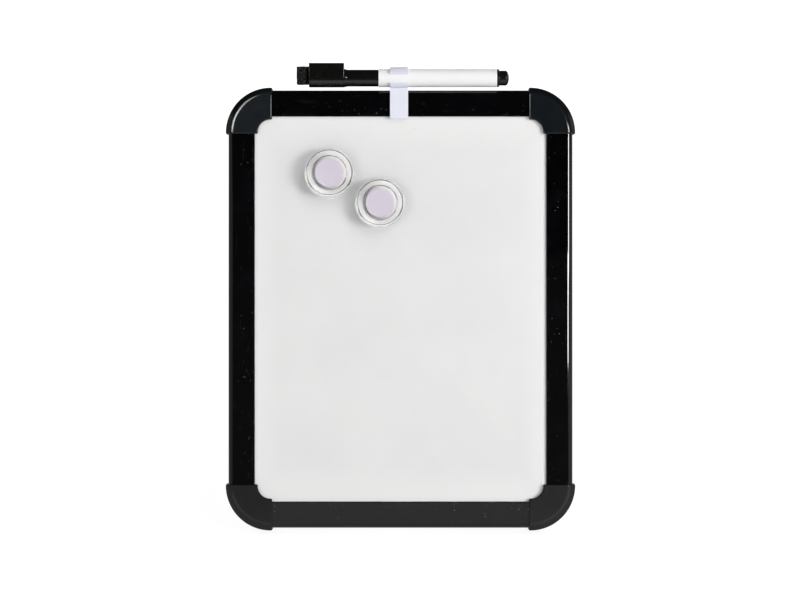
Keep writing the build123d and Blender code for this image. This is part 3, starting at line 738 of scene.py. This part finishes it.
def felt_pad():
    """Felt block with a fuzzy, uneven surface."""
    bm = bmesh.new()
    bmesh.ops.create_cube(bm, size=1)
    size = Vector((FELT_RIGHT - FELT_LEFT, 2 * FELT_HALF_DEPTH, FELT_HIGH - FELT_LOW))
    middle = Vector(((FELT_LEFT + FELT_RIGHT) / 2, MARKER_Y, MARKER_Z + (FELT_LOW + FELT_HIGH) / 2))
    for v in bm.verts:
        v.co = middle + Vector(v.co[i] * size[i] for i in range(3))
    bmesh.ops.bevel(bm, geom=bm.edges[:], offset=FELT_ROUNDING, segments=3, profile=0.5, affect="EDGES")
    bmesh.ops.triangulate(bm, faces=bm.faces)
    for _ in range(FELT_SPLITS):
        longest = [e for e in bm.edges if e.calc_length() > FELT_EDGE]
        if not longest:
            break
        bmesh.ops.subdivide_edges(bm, edges=longest, cuts=1)
        bmesh.ops.triangulate(bm, faces=bm.faces)
    bm.normal_update()
    moves = []
    for v in bm.verts:
        coarse = noise.noise(v.co * 0.45) * 0.2
        fine = noise.noise(v.co * 2.6) * 0.18 + noise.noise(v.co * 6.5) * 0.1
        # What is inside the holder stays as it is.
        open_part = min(1.0, max(0.0, (HOLDER_LEFT + 0.3 - v.co.x) / 0.8))
        moves.append(v.normal * (coarse + fine - FELT_SUNK) * open_part)
    for v, move in zip(bm.verts, moves):
        v.co += move
    felt_fibres(bm)
    clean(bm)
    piece("eraser_felt_pad", bm, "cap", "eraser_felt", ("eraser_felt",), sharp=180)


def felt_fibres(pad):
    """Short loose fibres that stand and curl out of the pad's open faces."""
    rng = random.Random(FIBRE_SEED)
    open_faces = [f for f in pad.faces if f.calc_center_median().x < HOLDER_LEFT - 0.25]
    bm = bmesh.new()
    for _ in range(FIBRES):
        face = rng.choice(open_faces)
        place = face.calc_center_median() - face.normal * 0.05
        lean = Vector(rng.uniform(-1, 1) for _ in range(3))
        heading = (face.normal * 0.75 + lean).normalized()
        side = heading.orthogonal().normalized()
        other = heading.cross(side)
        length = rng.uniform(*FIBRE_LENGTHS)
        width = rng.uniform(*FIBRE_WIDTHS)
        curl = Vector(rng.uniform(-1, 1) for _ in range(3)) * length * 0.4
        turns = [2 * math.pi * k / 3 for k in range(3)]
        rings = []
        for t in (0.0, 0.55, 1.0):
            centre = place + heading * length * t + curl * t * t
            thin = width * (1 - 0.6 * t)
            spread = [(side * math.cos(a) + other * math.sin(a)) * thin for a in turns]
            rings.append([bm.verts.new(centre + out) for out in spread])
        for low, high in zip(rings, rings[1:]):
            for k in range(3):
                bm.faces.new((low[k], low[(k + 1) % 3], high[(k + 1) % 3], high[k]))
        bm.faces.new(reversed(rings[0]))
        bm.faces.new(rings[-1])
    bmesh.ops.recalc_face_normals(bm, faces=bm.faces)
    fibres = piece("eraser_felt_fibres", bm, "cap", "eraser_felt", sharp=180)
    fibres.data.materials[0] = felt_fibre()


def clip():
    softened_node("marker_clip", "marker_clip_moulding", 0.28, "clip", "clip_plastic")


# The eraser holder is round below the marker's axis and flat on top. Its outlines are closed, across Y and
# up Z from the marker's axis, and run from the back end of the flat top down behind and up in front.
HOLDER_CORNER = 1.2
HOLDER_LEFT_ROUNDING = 0.14
HOLDER_RIGHT_ROUNDING = 0.35
POCKET_PLAY = 0.1  # around the felt
POCKET_CORNER = 1.0


def holder_outline(inset):
    """The holder's outline, drawn in by an inset."""
    radius = HOLDER_RADIUS - inset
    across, up = radius - HOLDER_CORNER, HOLDER_TOP - inset - HOLDER_CORNER
    back_corner = arc((across, up), HOLDER_CORNER, 90, 0, 8)
    below = arc((0, 0), radius, 0, -180, 32)
    front_corner = arc((-across, up), HOLDER_CORNER, 180, 90, 8)
    return back_corner + below + front_corner


def pocket_outline():
    """The felt's opening in the holder's left end, with rounded corners."""
    across = FELT_HALF_DEPTH + POCKET_PLAY - POCKET_CORNER
    low = FELT_LOW - POCKET_PLAY + POCKET_CORNER
    high = FELT_HIGH + POCKET_PLAY - POCKET_CORNER
    centres = ((across, high), (across, low), (-across, low), (-across, high))
    points = []
    for centre, start in zip(centres, (90, 0, -90, -180)):
        points += arc(centre, POCKET_CORNER, start, start - 90, 4)
    return points


def rounded_end(x, inwards, radius):
    """Stations of (x, inset) for the rounded edge of an end, from where it starts to the end's face."""
    return [(x + inwards * radius * (1 - rise), radius * (1 - out)) for out, rise in arc((0, 0), 1, 0, 90, 4)]


def holder_ring(bm, x, outline):
    """Vertices of an outline about the marker's axis at one place along it."""
    return [bm.verts.new((x, MARKER_Y + y, MARKER_Z + z)) for y, z in outline]


def around(ring):
    """Neighbouring pairs of a closed ring."""
    return list(zip(ring, ring[1:] + ring[:1]))


def holder():
    """Shell of the holder: a skin over stations along X, with a pocket for the felt at its left."""
    stations = rounded_end(HOLDER_LEFT, 1, HOLDER_LEFT_ROUNDING)[::-1]
    stations += rounded_end(CAP_SHOULDER, -1, HOLDER_RIGHT_ROUNDING)
    bm = bmesh.new()
    rings = [holder_ring(bm, x, holder_outline(inset)) for x, inset in stations]
    for low, high in zip(rings, rings[1:]):
        for (a, b), (c, d) in zip(around(low), around(high)):
            bm.faces.new((a, b, d, c))
    bm.faces.new(rings[-1])
    mouth = holder_ring(bm, HOLDER_LEFT, pocket_outline())
    pocket_end = holder_ring(bm, FELT_RIGHT + 0.05, pocket_outline())
    for (a, b), (c, d) in zip(around(mouth), around(pocket_end)):
        bm.faces.new((a, c, d, b))
    bm.faces.new(pocket_end[::-1])
    bmesh.ops.bridge_loops(bm, edges=[bm.edges.get(pair) for pair in around(rings[0]) + around(mouth)])
    clean(bm)
    steady_normals(piece("eraser_holder_shell", bm, "cap", "marker_black", ("eraser_holder",)))


# ---- Round magnets ----
def magnet(side):
    """Clear housing with a soft rim, a slightly coned wall and a round pocket in its back."""
    x, z = MAGNET_PLACES[side]
    origin = Vector((x, MAGNET_BACK, z))
    outwards = Vector((0, -1, 0))
    height = 8.0
    front_radius = 13.85
    foot_height = 0.7
    foot_radius = 15.5
    pocket_depth = 5.0
    pocket_radius = 10.85
    corners = [
        (height, 0, 0),
        (height, front_radius, 0.45),
        (foot_height, foot_radius - 0.1, 0.3),
        (0, foot_radius, 0.3),
        (0, pocket_radius, 0.2),
        (pocket_depth, pocket_radius, 0.8),
        (pocket_depth, 0, 0),
    ]
    outline = rounded_path(corners, 6)
    name, housing = "magnet_shell_" + side, "magnet_housing_" + side
    turned_piece(name, outline, origin, outwards, "magnet_" + side, "clear_acrylic", housing, 256)


# ---- Back ----
def back_pieces():
    softened_node("support_strut", "strut_plate", 0.45, "strut", "strut_plastic")
    softened_node("strut_shoe", "strut_shoe_rubber", 0.5, "strut", "pad_rubber")
    softened_node("hinge_bracket", "hinge_bracket_pressing", 0.22, "board", "bracket_steel")
    for side in ("left", "right"):
        softened_node("foot_pad_" + side, "foot_pad_rubber_" + side, 0.25, "board", "pad_rubber")


# ---------------------------------------------------------------- stage


# Lengths on the stage are in metres and along the part's own axes, where a function doesn't say otherwise.
FLOOR_HALF_SIZE = 8.0
FLOOR_WHITE = (0.76, 0.76, 0.76, 1)  # for the light that it throws on the pieces
FLOOR_SHADOW = (0.2, 0.2, 0.2, 1)  # its share that a shadow can take away, where it is seen
# The floor's glow by place: from, to, strength at the first and strength at the second.
FLOOR_IN_VIEW = (0.35, 1.3, 0.9, 1.0)  # by the distance from the part, where the floor is seen
FLOOR_IN_GLOSS = (-0.72, -0.6, 0.02, 0.92)  # by Y, in gloss: dark far in front
FLOOR_SHADED = (-0.3, -0.1, 1.0, 0.42)  # by Y, in gloss: shaded by the board


def stage_object(name, corners, material):
    """A flat four-cornered part of the studio."""
    mesh = bpy.data.meshes.new(name)
    mesh.from_pydata(corners, [], [(0, 1, 2, 3)])
    mesh.materials.append(material)
    made = bpy.data.objects.new(name, mesh)
    bpy.context.scene.collection.objects.link(made)
    return made


def floor_material():
    """White floor that keeps the object's shadow, and in gloss is dark far in front, as the studio is."""
    s = Shader("studio_floor")
    diffuse = s.node("BsdfDiffuse")
    diffuse.inputs["Color"].default_value = FLOOR_WHITE
    shadow_part = s.node("BsdfDiffuse")
    shadow_part.inputs["Color"].default_value = FLOOR_SHADOW
    place = s.node("NewGeometry")
    parts = s.node("SeparateXYZ")
    s.link(place.outputs["Position"], parts.inputs[0])
    far = s.node("VectorMath", operation="LENGTH")
    s.link(place.outputs["Position"], far.inputs[0])
    in_view = s.ramp(far.outputs["Value"], *FLOOR_IN_VIEW)
    in_gloss = s.ramp(parts.outputs["Y"], *FLOOR_IN_GLOSS)
    in_gloss = s.math("MULTIPLY", in_gloss, s.ramp(parts.outputs["Y"], *FLOOR_SHADED))
    path = s.node("LightPath")
    seen = s.math("MAXIMUM", path.outputs["Is Camera Ray"], path.outputs["Is Transmission Ray"])
    glow = s.node("Emission")
    s.link(in_view, glow.inputs["Strength"])
    with_shadow = s.node("AddShader")
    s.link(glow.outputs[0], with_shadow.inputs[0])
    s.link(shadow_part.outputs[0], with_shadow.inputs[1])
    gloss = s.node("Emission")
    s.link(in_gloss, gloss.inputs["Strength"])
    lit_or_gloss = s.node("MixShader")
    s.link(path.outputs["Is Glossy Ray"], lit_or_gloss.inputs["Fac"])
    s.link(diffuse.outputs[0], lit_or_gloss.inputs[1])
    s.link(gloss.outputs[0], lit_or_gloss.inputs[2])
    last = s.node("MixShader")
    s.link(seen, last.inputs["Fac"])
    s.link(lit_or_gloss.outputs[0], last.inputs[1])
    s.link(with_shadow.outputs[0], last.inputs[2])
    s.link(last.outputs[0], s.output.inputs["Surface"])
    s.tree.nodes.remove(s.main)
    return s.material


def floor():
    half = FLOOR_HALF_SIZE
    corners = [(-half, -half, 0), (half, -half, 0), (half, half, 0), (-half, half, 0)]
    stage_object("studio_floor", corners, floor_material())


WHITE = (1, 1, 1)


def card(name, corners, radiance, colour=WHITE):
    """A bright card that shows in gloss alone."""
    s = Shader(name)
    glow = s.node("Emission")
    glow.inputs["Color"].default_value = (*colour, 1)
    glow.inputs["Strength"].default_value = radiance
    s.link(glow.outputs[0], s.output.inputs["Surface"])
    s.tree.nodes.remove(s.main)
    made = stage_object(name, corners, s.material)
    made.visible_camera = False
    made.visible_diffuse = False
    made.visible_transmission = False
    made.visible_shadow = False
    made.visible_volume_scatter = False
    return made


def shows_only_in(window, names):
    """Keeps a bright window out of the gloss of all but the named pieces and nodes."""
    receivers = bpy.data.collections.new(window.name + "_receivers")
    for name in names:
        receivers.objects.link(nodes[name] if name in nodes else bpy.data.objects[name])
    window.light_linking.receiver_collection = receivers


def upright_card(name, azimuths, heights, radiance, colour=WHITE, distance=1300, middle=0):
    """A card at a distance from a place across the board, between two azimuths in degrees and two heights up
    the board, in millimetres."""
    low, high = heights
    corners = []
    for azimuth, height in zip((*azimuths, *reversed(azimuths)), (low, low, high, high)):
        angle = math.radians(azimuth)
        across, front = middle + distance * math.sin(angle), -distance * math.cos(angle)
        corners.append(BOARD @ Vector((across, front, height)))
    return card(name, corners, radiance, colour)


FRONT_CARD = (-0.72, 0.9, 0.115)  # its place in front, half its width and its height
FRONT_CARD_RADIANCE = 0.46
SIDE_CARD_REACH = (-0.5, 0.25)  # from in front of the board to behind it
SIDE_CARDS = {"left_card": (-0.42, 0.35, 0.27), "right_card": (0.42, 0.265, 0.42)}  # side, height, radiance
WARM_WHITE = (1.0, 0.99, 0.97)
MAGNETS = ("magnet_shell_left", "magnet_shell_right")
MARKER_PIECES = (
    "marker_barrel_tube", "marker_plug_knob", "marker_cap_sleeve", "eraser_holder_shell",
    "marker_clip_moulding",
)
TOP_CAPS = ("corner_cap_top_left", "corner_cap_top_right")
IN_LEFT_WINDOW = (*MARKER_PIECES, *MAGNETS, *TOP_CAPS)
IN_KEY_WINDOW = (*MARKER_PIECES, *TOP_CAPS, "frame_bar_right", "corner_cap_bottom_right")


def cards():
    """What shows in gloss. Every piece shows a low front card and side cards about as high as the board. The
    pieces that need them also show a window high on the left and the bright one of the key light on the
    right, and the magnets show a dimmer and nearer one."""
    front, half, high = FRONT_CARD
    corners = [(-half, front, 0), (half, front, 0), (half, front, high), (-half, front, high)]
    card("front_card", corners, FRONT_CARD_RADIANCE)
    near, far = SIDE_CARD_REACH
    for name, (side, high, radiance) in SIDE_CARDS.items():
        card(name, [(side, near, 0), (side, near, high), (side, far, high), (side, far, 0)], radiance)
    left = upright_card("left_window", (-49, -23), (220, 640), 18.0, WARM_WHITE)
    left_top = upright_card("left_window_top", (-49, -23), (640, 1250), 8.0, WARM_WHITE)
    key = upright_card("key_window", (24.5, 46), (-67, 300), 22.0)
    nearer = upright_card("magnet_window", (22, 48), (40, 140), 7.0, distance=350, middle=-30)
    shows_only_in(left, IN_LEFT_WINDOW)
    shows_only_in(left_top, IN_LEFT_WINDOW)
    shows_only_in(key, IN_KEY_WINDOW)
    shows_only_in(nearer, MAGNETS)


AMBIENT = 0.275  # strength of the world as light on the pieces
DARK_STUDIO = 0.01  # and of its dark part in gloss
# The world by direction: from, to, value at the first and value at the second.
BEHIND = (-0.05, 0.25, 0.0, 1.0)  # by Y, the share of what stands behind
LOW_BEHIND = (0.2, 0.5, 0.8, 0.02)  # by Z, its strength in gloss
LOW_IN_FRONT = (0.17, 0.35, 0.05, DARK_STUDIO)  # by Z, the strength in gloss in front


def world():
    """White behind the object, soft grey as light on it, and a dark studio in gloss."""
    made = bpy.data.worlds.new("studio")
    bpy.context.scene.world = made
    made.use_nodes = True
    tree = made.node_tree
    tree.nodes.clear()
    new = tree.nodes.new
    link = tree.links.new
    out = new("ShaderNodeOutputWorld")
    background = new("ShaderNodeBackground")
    background.inputs["Color"].default_value = (*WHITE, 1)
    coords = new("ShaderNodeTexCoord")
    parts = new("ShaderNodeSeparateXYZ")
    link(coords.outputs["Generated"], parts.inputs[0])

    def smooth_range(value, low, high, to_low, to_high):
        node = new("ShaderNodeMapRange")
        node.interpolation_type = "SMOOTHSTEP"
        node.inputs["From Min"].default_value = low
        node.inputs["From Max"].default_value = high
        node.inputs["To Min"].default_value = to_low
        node.inputs["To Max"].default_value = to_high
        link(value, node.inputs["Value"])
        return node.outputs["Result"]

    def mix(factor, first, second):
        node = new("ShaderNodeMix")
        link(factor, node.inputs["Factor"])
        for socket, value in ((node.inputs["A"], first), (node.inputs["B"], second)):
            if isinstance(value, float):
                socket.default_value = value
            else:
                link(value, socket)
        return node.outputs["Result"]

    behind = smooth_range(parts.outputs["Y"], *BEHIND)
    low_behind = smooth_range(parts.outputs["Z"], *LOW_BEHIND)
    in_front = smooth_range(parts.outputs["Z"], *LOW_IN_FRONT)
    studio = mix(behind, in_front, low_behind)
    through_glass = mix(behind, DARK_STUDIO, 1.0)
    path = new("ShaderNodeLightPath")
    level = mix(path.outputs["Is Glossy Ray"], AMBIENT, studio)
    level = mix(path.outputs["Is Transmission Ray"], level, through_glass)
    level = mix(path.outputs["Is Camera Ray"], level, 1.0)
    link(level, background.inputs["Strength"])
    link(background.outputs[0], out.inputs["Surface"])


def direction(azimuth, elevation):
    """A direction from the board, in degrees to the right of its front normal and above it."""
    a, e = math.radians(azimuth), math.radians(elevation)
    return RIGHT * math.sin(a) * math.cos(e) + UP * math.sin(e) + BOARD_FRONT * math.cos(a) * math.cos(e)


def lamp(name, azimuth, elevation, distance, size, radiance):
    """Soft box, out of the gloss, that faces the board's middle; distance and size are in metres."""
    light = bpy.data.lights.new(name, "AREA")
    light.shape = "RECTANGLE"
    light.size, light.size_y = size
    light.energy = radiance * math.pi * size[0] * size[1]
    made = bpy.data.objects.new(name, light)
    bpy.context.scene.collection.objects.link(made)
    target = BOARD @ Vector((0, 0, 0))
    towards = direction(azimuth, elevation)
    made.location = target + towards * distance
    made.rotation_euler = towards.to_track_quat("Z", "Y").to_euler()
    made.visible_camera = False
    made.visible_glossy = False


def lights():
    """Key light on the right with a higher and farther one over it, a fill on the left, and two behind."""
    lamp("key_box", 53, 1.5, 3.0, (1.15, 1.2), 15.1)
    lamp("key_upper", 38, 42, 6.0, (2.3, 2.1), 5.1)
    lamp("left_box", -40, 0, 3.0, (1.05, 1.15), 3.1)
    lamp("back_right", 142, 34, 3.0, (1.3, 1.2), 5.0)
    lamp("back_left", 212, 26, 3.0, (1.3, 1.2), 7.0)


def camera():
    """The photograph's camera: square on to the board, from a distance."""
    data = bpy.data.cameras.new("photo_camera")
    data.sensor_width = SENSOR
    data.lens = SENSOR * CAMERA_DISTANCE / (PHOTO_SIZE[0] * PHOTO_SCALE)
    data.clip_end = FARTHEST_SEEN
    made = bpy.data.objects.new("photo_camera", data)
    bpy.context.scene.collection.objects.link(made)
    aim_x = (PHOTO_SIZE[0] / 2 - PHOTO_CENTRE[0]) * PHOTO_SCALE
    aim_z = (PHOTO_CENTRE[1] - PHOTO_SIZE[1] / 2) * PHOTO_SCALE
    made.location = BOARD @ Vector((aim_x, -CAMERA_DISTANCE, aim_z))
    made.rotation_euler = (math.pi / 2 - LEAN, 0, 0)
    bpy.context.scene.camera = made


dress_cad_nodes()
barrel()
end_plug()
cap_sleeve()
holder()
felt_pad()
clip()
for side in MAGNET_PLACES:
    magnet(side)
back_pieces()
floor()
cards()
world()
lights()
camera()
bpy.context.scene.view_settings.view_transform = "Standard"
